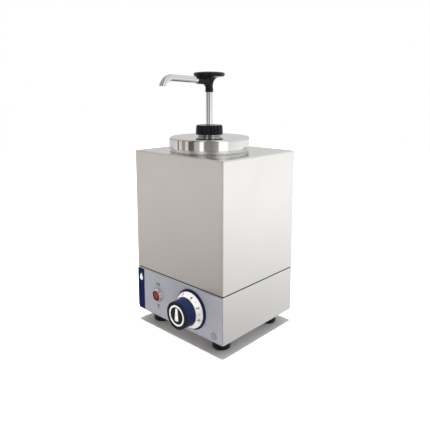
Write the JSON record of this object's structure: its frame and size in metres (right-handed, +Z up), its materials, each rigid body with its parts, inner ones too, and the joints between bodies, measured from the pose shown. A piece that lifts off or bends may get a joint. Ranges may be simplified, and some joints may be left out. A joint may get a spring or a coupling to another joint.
{
  "type": "nacho cheese dispenser",
  "caption": "Countertop heated cheese dispenser: square steel cabinet on feet, dial and lamp panel, round lid and a push-down pump with a bent spout.",
  "frame": {"origin": "on the surface the feet stand on, under the middle of the whole object's box", "axes": "+Z up, -Y out of the control panel and along the spout, +X to the right seen from the front"},
  "size_m": [0.22, 0.2358, 0.4733],
  "materials": {
    "cabinet_steel": "vertically brushed stainless sheet",
    "well_steel": "drawn stainless, satin",
    "container_steel": "spun stainless, satin",
    "polished_steel": "mirror polished stainless",
    "plain_steel": "bright machined steel",
    "lamp_chrome": "bright chrome",
    "bare_brass": "machined brass",
    "bare_aluminium": "die cast",
    "foot_rubber": "matt moulded rubber",
    "seal_rubber": "smooth seal rubber",
    "clear_silicone": "milky silicone",
    "black_plastic": "glossy moulded black",
    "navy_plastic": "satin moulded navy blue",
    "scale_white": "satin light grey with printed marks",
    "white_plastic": "food grade white plastic",
    "grey_plastic": "satin grey",
    "panel_foil": "lavender grey printed foil with a navy strip",
    "red_lens": "clear red moulded lens",
    "mineral_wool": "mineral wool blanket"
  },
  "bodies": {
    "cabinet": {"upper_shell": "cabinet_steel", "base_shell": "cabinet_steel", "bottom_plate": "cabinet_steel", "foot_front_left": "foot_rubber", "foot_front_right": "foot_rubber", "foot_rear_left": "foot_rubber", "foot_rear_right": "foot_rubber", "foot_screw_front_left": "plain_steel", "foot_screw_front_right": "plain_steel", "foot_screw_rear_left": "plain_steel", "foot_screw_rear_right": "plain_steel", "control_panel_foil": "panel_foil", "pilot_lamp_bezel": "lamp_chrome", "pilot_lamp_body": "black_plastic", "pilot_lamp_lens": "red_lens", "pilot_lamp_nut": "plain_steel", "blanking_plug": "grey_plastic", "thermostat_body": "bare_aluminium", "thermostat_bulb": "well_steel", "dial_backing_disc": "navy_plastic", "power_inlet": "black_plastic", "inlet_pin_live": "bare_brass", "inlet_pin_neutral": "bare_brass", "inlet_pin_earth": "bare_brass", "inlet_screw_left": "plain_steel", "inlet_screw_right": "plain_steel", "terminal_block": "white_plastic", "well_pot": "well_steel", "band_heater": "well_steel", "insulation_jacket": "mineral_wool"},
    "knob": {"knob_skirt": "scale_white", "knob_grip": "navy_plastic", "knob_cap": "black_plastic", "thermostat_spindle": "bare_brass"},
    "container": {"food_container": "container_steel"},
    "lid": {"lid_shell": "polished_steel", "lid_boss_ring": "polished_steel", "lid_gasket": "clear_silicone", "pump_cylinder": "white_plastic", "cylinder_gasket": "clear_silicone", "rod_guide_bush": "white_plastic", "return_spring": "plain_steel", "foot_valve_body": "white_plastic", "foot_valve_seal": "seal_rubber", "foot_valve_ball": "plain_steel"},
    "collar": {"collar_nut": "black_plastic"},
    "plunger": {"piston_rod": "polished_steel", "piston": "white_plastic", "piston_seal": "seal_rubber", "discharge_valve_ball": "plain_steel"},
    "handle": {"pump_handle": "black_plastic", "spout_tube": "polished_steel", "spout_seal": "seal_rubber"}
  },
  "joints": [
    {"name": "thermostat_turn", "type": "hinge", "parent": "cabinet", "child": "knob", "pos_m": [0.0369, -0.0825, 0.0666], "axis": [0, 1, 0], "range_deg": [0, 270]},
    {"name": "container_lift", "type": "slide", "parent": "cabinet", "child": "container", "axis": [0, 0, 1], "range_m": [0, 0.23]},
    {"name": "lid_lift", "type": "slide", "parent": "container", "child": "lid", "axis": [0, 0, 1], "range_m": [0, 0.23]},
    {"name": "collar_turn", "type": "hinge", "parent": "lid", "child": "collar", "pos_m": [0, 0.00155, 0.362], "axis": [0, 0, 1], "range_deg": [0, 360]},
    {"name": "pump_stroke", "type": "slide", "parent": "lid", "child": "plunger", "axis": [0, 0, -1], "range_m": [0, 0.05], "stiffness_N_per_m": 400, "springref_m": -0.02, "deforming": ["return_spring"]},
    {"name": "spout_swivel", "type": "hinge", "parent": "plunger", "child": "handle", "pos_m": [0, 0.00155, 0.44], "axis": [0, 0, 1], "continuous": true}
  ]
}
